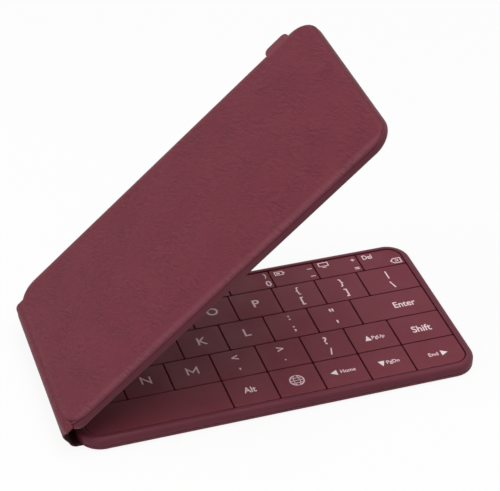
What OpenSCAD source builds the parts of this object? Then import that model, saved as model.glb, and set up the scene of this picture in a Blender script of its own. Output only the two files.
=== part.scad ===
// Folding pocket keyboard: two flat halves in a leather folio, joined by a flexible leather spine.
// The right half lies on the table, the left half is tilted over it. Origin: centre of the right half's underside.

/* [Halves] */
// Radius of the four outer corners, seen from above
corner_r = 9; // [6:0.5:12]
// Width of the rim at the two short ends
rim_end = 3.45; // [3:0.05:5]
// Width of the rim along the front and back edges
rim_side = 2.75; // [2.4:0.05:4]
// Radius of the rim's rounded outer edge
rim_round = 2; // [1:0.1:2.2]
// Height of the rim above the key tops
rim_lip = 0.3; // [0.2:0.05:0.6]
// Thickness of the padded leather cover, which is also the radius of its edge
cover_t = 1.2; // [0.8:0.1:1.4]
// Set-back of the groove between leather cover and frame
crease = 0.25; // [0.1:0.05:0.4]
// Thickness of the frame's floor
floor_t = 0.6; // [0.5:0.05:0.8]
// Height of the bay between the frame's floor and the support plate
bay_h = 0.9; // [0.9:0.05:1.6]
// Width of the ledge that carries the support plate
ledge_w = 1.2; // [0.8:0.1:2]

/* [Keys] */
// Width of one key unit, seam to seam
key_pitch = 17.5; // [16:0.1:20]
// Depth of the four main key rows, seam to seam
row_pitch = 15.4; // [14:0.1:18]
// Depth of the number row
number_row = 10.6; // [10:0.1:14]
// Length of the key field in key units
field_units = 8.2; // [8.1:0.1:9]
// Number of equal columns in the left half's number row
left_columns = 7; // [7:1:8]
// Seam between two neighbouring keys
key_seam = 0.55; // [0.4:0.05:0.8]
// Gap between the key field and the rim, beside half a seam
field_gap = 0.3; // [0.2:0.05:0.5]
// Corner radius of the key field
field_r = 5.5; // [4:0.5:7]
// Thickness of a key cap
key_t = 0.85; // [0.7:0.05:1]
// Travel of a pressed key
key_travel = 0.7; // [0.5:0.05:0.8]

/* [Inside] */
// Thickness of the steel support plate under the keys
plate_t = 0.3; // [0.2:0.05:0.4]
// Thickness of the switch membrane
membrane_t = 0.15; // [0.1:0.05:0.2]
// Clearance around plate, membrane, battery and board
fit_gap = 0.2; // [0.1:0.05:0.3]
// Width of the main board and of its bay along the back edge
board_w = 14; // [10:0.5:18]
// Thickness of the main board
board_t = 0.5; // [0.4:0.05:0.6]
// Length of the flat battery
battery_l = 92; // [50:1:100]
// Width of the flat battery
battery_w = 42; // [25:1:44]
// Width of the ribs between the bays
rib_w = 1.4; // [1:0.1:2]
// Radius of the plastic stakes that hold plate and membrane
stake_r = 0.8; // [0.6:0.05:1]
// Length of a scissor frame under a key
scissor_l = 11; // [8:0.5:12]
// Width of a scissor frame under a key
scissor_w = 7.4; // [7:0.1:7.8]
// Width of the scissor frames' bars
scissor_bar = 0.7; // [0.5:0.05:0.8]
// Diameter of a rubber dome at its foot
dome_d = 3.2; // [2.6:0.1:3.4]
// Height of a rubber dome when its key is fully pressed
dome_flat = 0.3; // [0.3:0.05:0.6]
// Length of a closing magnet
magnet_l = 12; // [6:1:14]
// Distance of each closing magnet's middle from the middle of its half
magnet_y = 13; // [8:0.5:14]
// Thickness of a closing magnet
magnet_t = 1.5; // [1:0.1:1.6]
// Height of a closing magnet
magnet_h = 2; // [1:0.1:2.4]
// Radius of a charging contact
contact_r = 0.7; // [0.5:0.05:0.8]
// Distance between two charging contacts
contact_pitch = 2.5; // [2:0.1:3.5]

/* [Fold] */
// Angle between the two halves in the stored pose
lid_angle = 42.5; // [30:0.5:60]
// Gap between the two rims at the fold when the halves are turned to lie parallel
shut_gap = 2.2; // [1:0.1:4]
// Distance from the end of a half to the leather spine's bend beside it
spine_reach = 2.2; // [2:0.1:3.5]
// Outer radius of the leather spine's two bends
spine_r = 3.2; // [2:0.1:3.2]
// Thickness of the leather spine
spine_t = 0.9; // [0.6:0.05:1.1]
// Depth of the spine's outer face below the padded covers
spine_sink = 0.3; // [0.2:0.05:0.5]
// Set-back of the spine from the front and back edges of the halves
spine_inset = 4.5; // [3:0.5:9]
// Width of the flexible cable between the halves
flex_w = 10; // [6:1:12]
// Thickness of the flexible cable
flex_t = 0.2; // [0.15:0.05:0.2]
// Distance from the spine's back end to the flexible cable
flex_from_end = 2; // [1:0.5:4]
// Length of the flexible cable inside the bay of each half
flex_tail = 3; // [2:0.5:6]

/* [Pull tab] */
// Width of the leather pull tab
tab_w = 10.8; // [8:0.1:16]
// Length of the tab outside the back edge
tab_out = 2.4; // [2:0.1:8]
// Length of the tab in its notch in the cover's edge
tab_in = 2.2; // [1:0.1:2.4]
// Thickness of the tab
tab_t = 1; // [0.6:0.05:1]
// Corner radius of the tab
tab_r = 1.5; // [0.8:0.1:2]
// Distance from the left half's free end to the tab
tab_from_end = 10; // [10:0.5:40]

/* [Hidden] */
$fn = 48;
eps = 0.01;

field_l = field_units * key_pitch;
field_w = 4 * row_pitch + number_row;
half_l = field_l + 2 * rim_end;
half_w = field_w + 2 * rim_side;
opening_l = field_l + 2 * field_gap;
opening_w = field_w + 2 * field_gap;
opening_r = field_r + field_gap;

// heights above the outer face of a half, from the cover up to the rim
floor_z = cover_t + floor_t;
plate_z = floor_z + bay_h;
membrane_z = plate_z + plate_t;
membrane_top = membrane_z + membrane_t;
switch_h = key_travel + dome_flat;
key_under = membrane_top + switch_h;
key_top = key_under + key_t;
half_t = key_top + rim_lip;
slip = 0.05;

// key rows from the back: distance of each from the field's front edge, and its depth
row_front = [4 * row_pitch, 3 * row_pitch, 2 * row_pitch, row_pitch, 0];
row_depth = [number_row, row_pitch, row_pitch, row_pitch, row_pitch];

// right half: width of the last key and of each key before it, in key units
right_last_units = [0.99, 1.2, 1.7, 1.18, 1.18];
right_step_units = [1.04, 1, 1, 1, 1];
right_names = [
    ["key_6", "key_7", "key_8", "key_9", "key_0", "key_minus", "key_equals", "key_delete"],
    ["key_y", "key_u", "key_i", "key_o", "key_p", "key_bracket_left", "key_bracket_right", "key_backslash"],
    ["key_h", "key_j", "key_k", "key_l", "key_semicolon", "key_quote", "key_enter"],
    ["key_b", "key_n", "key_m", "key_comma", "key_period", "key_slash", "key_up", "key_shift"],
    ["key_space", "key_alt", "key_globe", "key_left", "key_down", "key_right"],
];

// left half: width of the first key in its own column widths, and how many keys the row has
left_first_units = [1, 1.5, 1.75, 2.25, 1];
left_count = [7, 6, 6, 5, 5];
left_step = field_l / left_columns;
left_rows = ["left_number_row_keys", "left_top_row_keys", "left_home_row_keys",
    "left_bottom_row_keys", "left_space_row_keys"];

// fold: both hinge axes lie in the middle of the spine leather, at its bends, and share the turn equally
half_angle = lid_angle / 2;
hinge_z = spine_sink + spine_t / 2;
link_l = 2 * half_t + shut_gap - 2 * hinge_z;
hinge_d = (link_l / 2 + hinge_z * cos(half_angle)) / sin(half_angle);
end_d = hinge_d + spine_reach;
fold_x = -half_l / 2 - end_d;
spine_front = hinge_d * cos(half_angle) + hinge_z * sin(half_angle) - spine_t / 2;
spine_w = half_w - 2 * spine_inset;

// rib and bay lines, measured from the middle of a half
bay_l = opening_l - 2 * ledge_w;
bay_w = opening_w - 2 * ledge_w;
board_y = bay_w / 2 - fit_gap - board_w / 2;
board_rib_y = board_y - board_w / 2 - fit_gap - rib_w / 2;
battery_x = -bay_l / 2 + fit_gap + battery_l / 2;
battery_y = board_rib_y - rib_w / 2 - fit_gap - battery_w / 2;
battery_rib_x = battery_x + battery_l / 2 + fit_gap + rib_w / 2;
front_rib_y = battery_y - battery_w / 2 - fit_gap - rib_w / 2;
stake_x = [for (k = [-3, -1, 1, 3]) k * bay_l / 8];
stake_y = [board_rib_y, front_rib_y];
wall_l = (half_l - opening_l) / 2;
wall_in = (half_l - bay_l) / 2;
contact_z = (cover_t + half_t) / 2;
contact_l = wall_l - fit_gap;
tail_t = 0.5;
flex_z = floor_z + board_t + slip;
flex_y = spine_w / 2 - flex_from_end - flex_w / 2;

function arc(cx, cy, r, from, to, steps = 10) =
    [for (k = [0:steps]) let (a = from + (to - from) * k / steps) [cx + r * cos(a), cy + r * sin(a)]];

function reversed(points) = [for (k = [len(points) - 1:-1:0]) points[k]];

function mirrored(points) = [for (p = reversed(points)) [p[0], -p[1]]];

// seam positions of a row, from the field's left edge
function right_seam(row, k) =
    let (last = len(right_names[row]) - 1)
    k == 0 ? 0 : field_l - key_pitch * (right_last_units[row] + right_step_units[row] * (last - k));
function right_edge(row, k) =
    k == len(right_names[row]) - 1 ? field_l : right_seam(row, k + 1);
function left_seam(row, k) = k == 0 ? 0 : left_step * (left_first_units[row] + k - 1);
function left_edge(row, k) = k == left_count[row] - 1 ? field_l : left_seam(row, k + 1);

// places a half, modelled flat with its fold end at +X, as the tilted left half
module as_lid() {
    translate([fold_x, 0, 0])
        rotate([0, 180 - lid_angle, 0])
            translate([-end_d - half_l / 2, 0, 0])
                children();
}

// places a profile drawn in the plane that splits the fold: X away from the fold line, Y towards the lid
module in_fold() {
    translate([fold_x, 0, 0])
        rotate([0, -half_angle, 0])
            rotate([90, 0, 0])
                children();
}

module round_rect(l, w, r) {
    square([l - 2 * r, w], center = true);
    square([l, w - 2 * r], center = true);
    for (sx = [-1, 1])
        for (sy = [-1, 1])
            translate([sx * (l / 2 - r), sy * (w / 2 - r)])
                circle(r);
}

// sweeps a profile along the edge of a round-cornered rectangle: the profile's X = 0 is the outer edge
module round_rect_sweep(l, w, r) {
    for (a = [0, 180]) {
        rotate([0, 0, a])
            translate([l / 2, w / 2 - r, 0])
                rotate([90, 0, 0])
                    linear_extrude(w - 2 * r)
                        children();
        rotate([0, 0, a])
            translate([-l / 2 + r, w / 2, 0])
                rotate([90, 0, 90])
                    linear_extrude(l - 2 * r)
                        children();
    }
    for (c = [[1, 1, 0], [-1, 1, 90], [-1, -1, 180], [1, -1, 270]])
        translate([c[0] * (l / 2 - r), c[1] * (w / 2 - r), 0])
            rotate([0, 0, c[2]])
                rotate_extrude(angle = 90)
                    translate([r, 0])
                        children();
}

module quarter_round(r) {
    intersection() {
        translate([-r, 0])
            circle(r);
        translate([-r, 0])
            square(r);
    }
}

// leather pad of one half, rounded all round its outer edge
module cover_shape() {
    linear_extrude(cover_t)
        round_rect(half_l - 2 * cover_t, half_w - 2 * cover_t, corner_r - cover_t);
    translate([0, 0, cover_t])
        mirror([0, 0, 1])
            round_rect_sweep(half_l, half_w, corner_r)
                quarter_round(cover_t);
}

// outer block of a frame with its rounded rim, before the key field is cut out
module frame_block() {
    translate([0, 0, cover_t])
        linear_extrude(half_t - cover_t)
            round_rect(half_l - 2 * rim_round, half_w - 2 * rim_round, corner_r - rim_round);
    translate([0, 0, cover_t])
        linear_extrude(crease)
            round_rect(half_l - 2 * crease, half_w - 2 * crease, corner_r - crease);
    translate([0, 0, cover_t + crease])
        linear_extrude(half_t - rim_round - cover_t - crease)
            round_rect(half_l, half_w, corner_r);
    translate([0, 0, half_t - rim_round])
        round_rect_sweep(half_l, half_w, corner_r)
            quarter_round(rim_round);
}

module stakes(r, z, h) {
    for (x = stake_x)
        for (y = stake_y)
            translate([x, y, z])
                cylinder(r = r, h = h);
}

// the two magnets, or with a gap their pockets, in the free end of a half: side is 1 where that end is at +X
module magnet_blocks(side, gap) {
    for (y = [-magnet_y, magnet_y])
        translate([side * (half_l - wall_l) / 2, y, cover_t + slip + magnet_h / 2])
            cube([magnet_t + 2 * gap, magnet_l + 2 * gap, magnet_h + 2 * gap], center = true);
}

// frame of one half: floor, rim, ledge and stakes; side is 1 where the free end is at +X
module frame_shape(side) {
    difference() {
        frame_block();
        translate([0, 0, plate_z])
            linear_extrude(half_t)
                round_rect(opening_l, opening_w, opening_r);
        translate([0, 0, floor_z])
            linear_extrude(half_t)
                round_rect(bay_l, bay_w, opening_r - ledge_w);
        magnet_blocks(side, fit_gap / 2);
        translate([-side * (half_l / 2 - wall_in / 2), flex_y, flex_z + flex_t / 2])
            cube([wall_in + ledge_w, flex_w + 2 * fit_gap, flex_t + 2 * slip], center = true);
    }
    stakes(stake_r, floor_z - eps, membrane_top + slip - floor_z);
}

module plate_shape(z, t) {
    difference() {
        translate([0, 0, z])
            linear_extrude(t)
                round_rect(opening_l - 2 * fit_gap, opening_w - 2 * fit_gap, opening_r - fit_gap);
        stakes(stake_r + fit_gap / 2, z - t, 3 * t);
    }
}

// one key cap, clipped to the round corners of the key field
module key_cap(row, from, to) {
    intersection() {
        translate([from - field_l / 2 + key_seam / 2, row_front[row] - field_w / 2 + key_seam / 2, key_under])
            cube([to - from - key_seam, row_depth[row] - key_seam, key_t]);
        translate([0, 0, key_under - eps])
            linear_extrude(key_t + 2 * eps)
                round_rect(field_l - key_seam, field_w - key_seam, field_r - key_seam / 2);
    }
}

// one slanted frame of a scissor pair
module scissor_frame(w, slant) {
    bar_t = switch_h / 3;
    tilt = asin((switch_h - bar_t - 4 * slip) / scissor_l);
    rotate([0, slant * tilt, 0])
        difference() {
            cube([scissor_l, w, bar_t], center = true);
            cube([scissor_l - 2 * scissor_bar, w - 2 * scissor_bar, 2 * bar_t], center = true);
        }
}

// rubber dome with its scissor pair, under the middle of one key
module key_switch(row, from, to) {
    translate([(from + to) / 2 - field_l / 2, row_front[row] + row_depth[row] / 2 - field_w / 2, membrane_top]) {
        cylinder(d1 = dome_d, d2 = dome_d * 0.6, h = switch_h - slip);
        translate([0, 0, switch_h / 2]) {
            scissor_frame(scissor_w, 1);
            scissor_frame(scissor_w - 2 * scissor_bar - fit_gap, -1);
        }
    }
}

module right_key(row, k) {
    color("#6d3840")
        key_cap(row, right_seam(row, k), right_edge(row, k));
}

module left_row(row) {
    color("#6d3840")
        as_lid()
            for (k = [0:left_count[row] - 1])
                key_cap(row, left_seam(row, k), left_edge(row, k));
}

module base_cover() {
    color("#733a45")
        cover_shape();
}

module base_frame() {
    color("#5a2a36")
        difference() {
            union() {
                frame_shape(1);
                translate([-bay_l / 2 - eps, board_rib_y - rib_w / 2, floor_z - eps])
                    cube([bay_l + 2 * eps, rib_w, bay_h + eps]);
                translate([-bay_l / 2 - eps, front_rib_y - rib_w / 2, floor_z - eps])
                    cube([bay_l + 2 * eps, rib_w, bay_h + eps]);
                translate([battery_rib_x - rib_w / 2, front_rib_y, floor_z - eps])
                    cube([rib_w, board_rib_y - front_rib_y, bay_h + eps]);
            }
            contact_pins(slip);
        }
}

module base_support_plate() {
    color("silver")
        plate_shape(plate_z, plate_t);
}

module base_membrane() {
    color("#c9d2c4")
        plate_shape(membrane_z, membrane_t);
}

module base_key_switches() {
    color("ivory")
        for (row = [0:4])
            for (k = [0:len(right_names[row]) - 1])
                key_switch(row, right_seam(row, k), right_edge(row, k));
}

// circuit board with four chips, its back corners rounded like those of its bay
module main_board() {
    chip_h = bay_h - board_t - fit_gap / 2;
    chip_l = board_w / 2;
    color("#2c5a3a")
        translate([0, 0, floor_z]) {
            intersection() {
                linear_extrude(board_t)
                    round_rect(bay_l - 2 * fit_gap, bay_w - 2 * fit_gap, opening_r - ledge_w - fit_gap);
                translate([-bay_l / 2, board_y - board_w / 2, -eps])
                    cube([bay_l, 2 * board_w, board_t + 2 * eps]);
            }
            for (x = [-3:2:3])
                translate([x * bay_l / 9, board_y - chip_l / 2, board_t - eps])
                    cube([chip_l, chip_l, chip_h + eps]);
        }
}

module battery() {
    color("#8f949c")
        translate([battery_x - battery_l / 2, battery_y - battery_w / 2, floor_z])
            cube([battery_l, battery_w, bay_h - fit_gap]);
}

module base_magnets() {
    color("#b9bcc2")
        magnet_blocks(1, 0);
}

// round contacts in the rim of the free end, each with a flat tail that reaches the board's bay
module contact_pins(gap) {
    for (k = [-1.5:1.5]) {
        translate([half_l / 2 - contact_l - gap, board_y + k * contact_pitch, contact_z])
            rotate([0, 90, 0])
                cylinder(r = contact_r + gap, h = contact_l + 2 * gap);
        translate([half_l / 2 - wall_in - gap, board_y + k * contact_pitch - tail_t / 2 - gap, floor_z + slip - gap])
            cube([wall_in - contact_l + tail_t + gap, tail_t + 2 * gap, tail_t + 2 * gap]);
        translate([half_l / 2 - contact_l, board_y + k * contact_pitch - tail_t / 2 - gap, floor_z + slip - gap])
            cube([tail_t + gap, tail_t + 2 * gap, contact_z - floor_z + 2 * gap]);
    }
}

module charge_contacts() {
    color("gold")
        contact_pins(0);
}

// strip that runs from one half to the other, parallel to their outer faces: sink is its depth below them,
// front its distance from the fold line, r the outer radius of its bends, and reach where its ends lie
module fold_strip(sink, t, front, r, reach, w) {
    line_d = (front - sink * sin(half_angle)) / cos(half_angle);
    corner_y = -line_d * sin(half_angle) + sink * cos(half_angle);
    bend_y = corner_y + r / tan(45 + half_angle / 2);
    outer_end = [reach * cos(half_angle) + sink * sin(half_angle),
        -reach * sin(half_angle) + sink * cos(half_angle)];
    inner_end = outer_end + t * [sin(half_angle), cos(half_angle)];
    outer = concat([outer_end], arc(front + r, bend_y, r, 270 - half_angle, 180));
    inner = concat([inner_end], arc(front + r, bend_y, r - t, 270 - half_angle, 180));
    in_fold()
        linear_extrude(w, center = true)
            polygon(concat(outer, mirrored(outer), mirrored(reversed(inner)), reversed(inner)));
}

module spine_leather() {
    color("#6a3540")
        fold_strip(spine_sink, spine_t, spine_front, spine_r, end_d - 2 * slip, spine_w);
}

module flex_cable() {
    color("#c07a2c")
        translate([0, flex_y, 0])
            fold_strip(flex_z, flex_t, spine_front + spine_t + fit_gap, spine_r - spine_t,
                end_d + wall_in + flex_tail, flex_w);
}

// flat shape of the pull tab, or with a gap that of its notch in the cover's edge
module tab_shape(gap) {
    translate([-half_l / 2 + tab_from_end + tab_w / 2, half_w / 2 + (tab_out - tab_in) / 2])
        round_rect(tab_w + 2 * gap, tab_in + tab_out + 2 * gap, tab_r);
}

module lid_cover() {
    color("#733a45")
        as_lid()
            difference() {
                cover_shape();
                translate([0, 0, -eps])
                    linear_extrude(cover_t + 2 * eps)
                        tab_shape(slip);
            }
}

module lid_frame() {
    color("#5a2a36")
        as_lid()
            union() {
                frame_shape(-1);
                for (x = stake_x)
                    translate([x - rib_w / 2, -bay_w / 2 - eps, floor_z - eps])
                        cube([rib_w, bay_w + 2 * eps, bay_h + eps]);
            }
}

module lid_support_plate() {
    color("silver")
        as_lid()
            plate_shape(plate_z, plate_t);
}

module lid_membrane() {
    color("#c9d2c4")
        as_lid()
            plate_shape(membrane_z, membrane_t);
}

module lid_key_switches() {
    color("ivory")
        as_lid()
            for (row = [0:4])
                for (k = [0:left_count[row] - 1])
                    key_switch(row, left_seam(row, k), left_edge(row, k));
}

module lid_magnets() {
    color("#b9bcc2")
        as_lid()
            magnet_blocks(-1, 0);
}

// glued to the frame's underside, its outer face level with the cover's
module pull_tab() {
    color("#733a45")
        as_lid()
            translate([0, 0, cover_t - slip - tab_t])
                linear_extrude(tab_t)
                    tab_shape(0);
}

base_cover();
base_frame();
base_support_plate();
base_membrane();
base_key_switches();
main_board();
battery();
base_magnets();
charge_contacts();
for (row = [0:4])
    for (k = [0:len(right_names[row]) - 1])
        right_key(row, k);
spine_leather();
flex_cable();
lid_cover();
lid_frame();
lid_support_plate();
lid_membrane();
lid_key_switches();
lid_magnets();
pull_tab();
for (row = [0:4])
    left_row(row);
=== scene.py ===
import math

import bmesh
import bpy
from mathutils import Matrix, Vector, noise


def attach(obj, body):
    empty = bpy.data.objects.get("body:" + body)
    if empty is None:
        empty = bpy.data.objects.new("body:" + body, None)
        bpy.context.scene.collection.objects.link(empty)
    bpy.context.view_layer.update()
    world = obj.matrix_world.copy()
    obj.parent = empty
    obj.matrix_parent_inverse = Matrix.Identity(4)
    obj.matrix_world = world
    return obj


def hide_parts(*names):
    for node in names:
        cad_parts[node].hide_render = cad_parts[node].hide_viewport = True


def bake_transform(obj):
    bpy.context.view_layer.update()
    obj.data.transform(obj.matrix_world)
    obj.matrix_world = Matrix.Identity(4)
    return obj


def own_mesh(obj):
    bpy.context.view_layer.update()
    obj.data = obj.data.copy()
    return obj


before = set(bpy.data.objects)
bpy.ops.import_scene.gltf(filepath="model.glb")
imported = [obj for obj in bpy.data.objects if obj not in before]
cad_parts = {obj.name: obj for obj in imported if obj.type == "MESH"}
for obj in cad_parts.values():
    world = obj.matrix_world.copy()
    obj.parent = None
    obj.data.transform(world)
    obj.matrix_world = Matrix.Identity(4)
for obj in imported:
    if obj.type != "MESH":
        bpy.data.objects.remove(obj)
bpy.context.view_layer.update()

MM = 0.001

# Outline of a half and its heights above the outer face, in millimetres, as in the part
HALF_X, HALF_Y = 75.2, 38.85
CORNER_R = 9.0
COVER_T = 1.2
COVER_EDGE, EDGE_W = 1.7, 0.8
CREASE = 0.25
RIM_ROUND = 2.0
FRAME_TOP = 5.3
LEDGE_Z, FLOOR_Z = 2.7, 1.8
STAKE_TOP = 3.2
OPENING_X, OPENING_Y, OPENING_R = 72.05, 36.4, 5.8
LEDGE_W = 1.2

# Keys
FIELD_L, FIELD_W, FIELD_R = 143.5, 72.2, 5.5
KEY_PITCH, ROW_PITCH, NUMBER_ROW = 17.5, 15.4, 10.6
KEY_SEAM, END_GAP = 0.55, 0.03
KEY_UNDER, KEY_TOP = 4.15, 5.0
KEY_EDGE, KEY_EDGE_STEPS = 0.14, 4
KEY_FOOT_IN, KEY_FOOT_UP = 0.10, 0.08
KEY_FLAT_IN = 0.12
KEY_CORNER = 0.45
KEY_CORNER_STEPS, FIELD_CORNER_STEPS = 5, 14

# Fold: where the two halves' outer planes meet, and the leather strip between them
LID_ANGLE = math.radians(42.5)
FOLD_X = -94.9175
END_D = 19.7175
SPINE_T, SPINE_W = 0.9, 68.7
SPINE_SINK = 0.22
SPINE_FRONT, SPINE_R = 16.148, 3.2

# Flat cable: place, gap to the spine, and run through a half's wall and into its bay
FLEX_Z, FLEX_T, FLEX_W, FLEX_Y = 2.35, 0.2, 10.0, 27.35
FLEX_GAP = 0.2
FLEX_WALL, FLEX_IN = 4.35, 3.0

# Pull tab, and charging contacts
TAB_X, TAB_W = -59.8, 10.8
TAB_IN, TAB_OUT, TAB_T, TAB_R = 2.2, 2.4, 1.0, 2.25
TAB_Z, TAB_EDGE = 0.15, 0.45
CONTACT_R, CONTACT_PITCH = 0.7, 2.5
CONTACT_Y, CONTACT_Z = 28.0, 3.25
CONTACT_COUNT, CONTACT_SIDES = 4, 24
BORE_GAP, BORE_OUT, PIN_SINK, PIN_DEEP = 0.12, 0.5, 0.12, 1.2

# Places of the two halves: each is modelled flat, outer face down, in millimetres
BASE = Matrix.Scale(MM, 4)
LID = (
    Matrix.Scale(MM, 4)
    @ Matrix.Translation((FOLD_X, 0, 0))
    @ Matrix.Rotation(math.pi - LID_ANGLE, 4, "Y")
    @ Matrix.Translation((-END_D - HALF_X, 0, 0))
)


# Leather wrinkles: slant in degrees, stretch, drift in millimetres, and bump depth in metres
WRINKLE_TURN = -72
WRINKLE_STRETCH = (0.27, 1.05, 1.0)
WRINKLE_DRIFT = 4.0
WRINKLE_DEPTH = 0.00019

# Shares of pores, fine grain and wrinkles in the bump's height
PORE_SHARE, FINE_SHARE, WRINKLE_SHARE = 0.25, 0.35, 0.6

# Leather colours: its own, a painted highlight, a lighter one and a painted shade; shares of the light one
# in the mottle and of the painted shade in the wrinkles' hollows
LEATHER_BASE, LEATHER_EDGE_HIGHLIGHT = "6c2534", "86535d"
LEATHER_LIGHT, LEATHER_SHADE = "742d3b", "531722"
MOTTLE_SHARE, SHADE_SHARE = 0.4, 0.24

# Bands from the side, in millimetres, in which a painted highlight fades in on the rolled edges and painted
# shade darkens the -x end, with the shares of the highlight that both ends get and of the shade colour
EDGE_HIGHLIGHT_FROM, EDGE_HIGHLIGHT_TO = 3.2, 1.0
EDGE_HIGHLIGHT_END = 0.35
END_SHADE_FROM, END_SHADE_TO = 1.8, 0.7
END_SHADE_SHARE = 0.5


# Shader nodes

def linear(code):
    """A colour of six hexadecimal digits as linear RGBA."""
    parts = [int(code[i : i + 2], 16) / 255 for i in (0, 2, 4)]
    return tuple(c / 12.92 if c <= 0.04045 else ((c + 0.055) / 1.055) ** 2.4 for c in parts) + (1.0,)


def add(tree, kind, inputs=None, **settings):
    """Adds a shader node. An input's value is a number, a tuple or another node's output."""
    made = tree.nodes.new(kind)
    for key, value in settings.items():
        setattr(made, key, value)
    for key, value in (inputs or {}).items():
        if isinstance(value, bpy.types.NodeSocket):
            tree.links.new(value, made.inputs[key])
        else:
            made.inputs[key].default_value = value
    return made


def math_node(tree, operation, a, b=0.0):
    return add(tree, "ShaderNodeMath", {0: a, 1: b}, operation=operation).outputs[0]


def vector_node(tree, operation, inputs):
    return add(tree, "ShaderNodeVectorMath", inputs, operation=operation).outputs[0]


def noise_node(tree, vector, scale, detail=2.0, roughness=0.5):
    inputs = {"Vector": vector, "Scale": scale, "Detail": detail, "Roughness": roughness}
    return add(tree, "ShaderNodeTexNoise", inputs).outputs[0]


def ramp_node(tree, value, low, high, to_low=0.0, to_high=1.0):
    inputs = {"Value": value, "From Min": low, "From Max": high, "To Min": to_low, "To Max": to_high}
    return add(tree, "ShaderNodeMapRange", inputs, interpolation_type="SMOOTHSTEP").outputs[0]


def mix_color(tree, share, a, b):
    return add(tree, "ShaderNodeMix", {0: share, 6: a, 7: b}, data_type="RGBA").outputs[2]


def new_material(name, color, roughness, metallic=0.0, specular=0.5):
    """A Principled material; returns it with its tree and its shader."""
    material = bpy.data.materials.new(name)
    material.use_nodes = True
    material.diffuse_color = color
    tree = material.node_tree
    shader = tree.nodes["Principled BSDF"]
    inputs = {"Base Color": color, "Roughness": roughness, "Metallic": metallic}
    for key, value in {**inputs, "Specular IOR Level": specular}.items():
        shader.inputs[key].default_value = value
    return material, tree, shader


def object_mm(tree, stretch):
    """Object coordinates in millimetres, stretched."""
    where = add(tree, "ShaderNodeTexCoord").outputs["Object"]
    where = vector_node(tree, "SCALE", {0: where, "Scale": 1 / MM})
    return vector_node(tree, "MULTIPLY", {0: where, 1: stretch})


def bump(tree, shader, height, distance, strength=1.0):
    inputs = {"Height": height, "Distance": distance, "Strength": strength}
    tree.links.new(add(tree, "ShaderNodeBump", inputs).outputs[0], shader.inputs["Normal"])


def edge_highlight_mask(tree, flat):
    """Mask of the painted highlight: 1 on the rolled long edges of a half's leather, less on its ends and 0
    on its face.
    """
    apart = add(tree, "ShaderNodeSeparateXYZ", {0: flat})
    shares = []
    for k, half, most in ((0, HALF_X, EDGE_HIGHLIGHT_END), (1, HALF_Y, 1.0)):
        side = math_node(tree, "SUBTRACT", math_node(tree, "ABSOLUTE", apart.outputs[k]), half)
        shares.append(ramp_node(tree, side, -EDGE_HIGHLIGHT_FROM, -EDGE_HIGHLIGHT_TO, 0.0, most))
    return math_node(tree, "MAXIMUM", *shares)


def leather_waves(tree, flat):
    """Clusters of short wavy wrinkles that run across the half at a slant, from -1 to 1."""
    drift = add(tree, "ShaderNodeTexNoise", {"Vector": flat, "Scale": 0.12, "Detail": 1.0}).outputs[1]
    drift = vector_node(tree, "SCALE", {0: drift, "Scale": WRINKLE_DRIFT})
    warped = vector_node(tree, "ADD", {0: flat, 1: drift})
    inputs = {"Vector": warped, "Angle": math.radians(WRINKLE_TURN)}
    turned = add(tree, "ShaderNodeVectorRotate", inputs, rotation_type="Z_AXIS").outputs[0]
    stretched = vector_node(tree, "MULTIPLY", {0: turned, 1: WRINKLE_STRETCH})
    waves = ramp_node(tree, noise_node(tree, stretched, 1.0, 1.5), 0.4, 0.6, -1.0, 1.0)
    cluster = ramp_node(tree, noise_node(tree, flat, 0.09), 0.4, 0.64, 0.3, 1.0)
    return math_node(tree, "MULTIPLY", waves, cluster)


def painted_edge_light_and_shade(tree, flat, color, edge_highlight):
    """A colour with a painted highlight on the half's rolled edges and painted shade at its -x end."""
    share = math_node(tree, "MULTIPLY", edge_highlight_mask(tree, flat), edge_highlight)
    color = mix_color(tree, share, color, linear(LEATHER_EDGE_HIGHLIGHT))
    # Painted shade at the half's -x end
    along = add(tree, "ShaderNodeSeparateXYZ", {0: flat}).outputs[0]
    beyond = math_node(tree, "SUBTRACT", -HALF_X, along)
    share = ramp_node(tree, beyond, -END_SHADE_FROM, -END_SHADE_TO, 0.0, END_SHADE_SHARE)
    return mix_color(tree, share, color, linear(LEATHER_SHADE))


def leather(name, edge_highlight):
    """Dyed leather with fine pores, wrinkles and painted shade in their hollows. Its second argument is the
    share of painted highlight on the rolled edge; when it is set, the -x end also gets painted shade.
    """
    base = linear(LEATHER_BASE)
    material, tree, shader = new_material(name, base, 0.52, specular=0.25)
    flat = add(tree, "ShaderNodeUVMap", uv_map="flat").outputs[0]
    waves = leather_waves(tree, flat)
    cells = add(tree, "ShaderNodeTexVoronoi", {"Vector": flat, "Scale": 1.3}, feature="SMOOTH_F1").outputs[0]
    pores = ramp_node(tree, cells, 0.05, 0.5)
    fine = noise_node(tree, flat, 2.6)
    parts = ((pores, PORE_SHARE), (fine, FINE_SHARE), (waves, WRINKLE_SHARE))
    pores, grain, wrinkles = (math_node(tree, "MULTIPLY", part, share) for part, share in parts)
    height = math_node(tree, "ADD", math_node(tree, "ADD", pores, grain), wrinkles)
    bump(tree, shader, height, WRINKLE_DEPTH)
    mottle = ramp_node(tree, noise_node(tree, flat, 0.05), 0.35, 0.65)
    color = mix_color(tree, math_node(tree, "MULTIPLY", mottle, MOTTLE_SHARE), base, linear(LEATHER_LIGHT))
    # Painted shade in the hollows of the wrinkles
    shade = math_node(tree, "MULTIPLY", ramp_node(tree, waves, -1.0, 0.6, 1.0, 0.0), SHADE_SHARE)
    color = mix_color(tree, shade, color, linear(LEATHER_SHADE))
    if edge_highlight:
        color = painted_edge_light_and_shade(tree, flat, color, edge_highlight)
    tree.links.new(color, shader.inputs["Base Color"])
    tree.links.new(ramp_node(tree, fine, 0.3, 0.7, 0.5, 0.62), shader.inputs["Roughness"])
    return material


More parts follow.
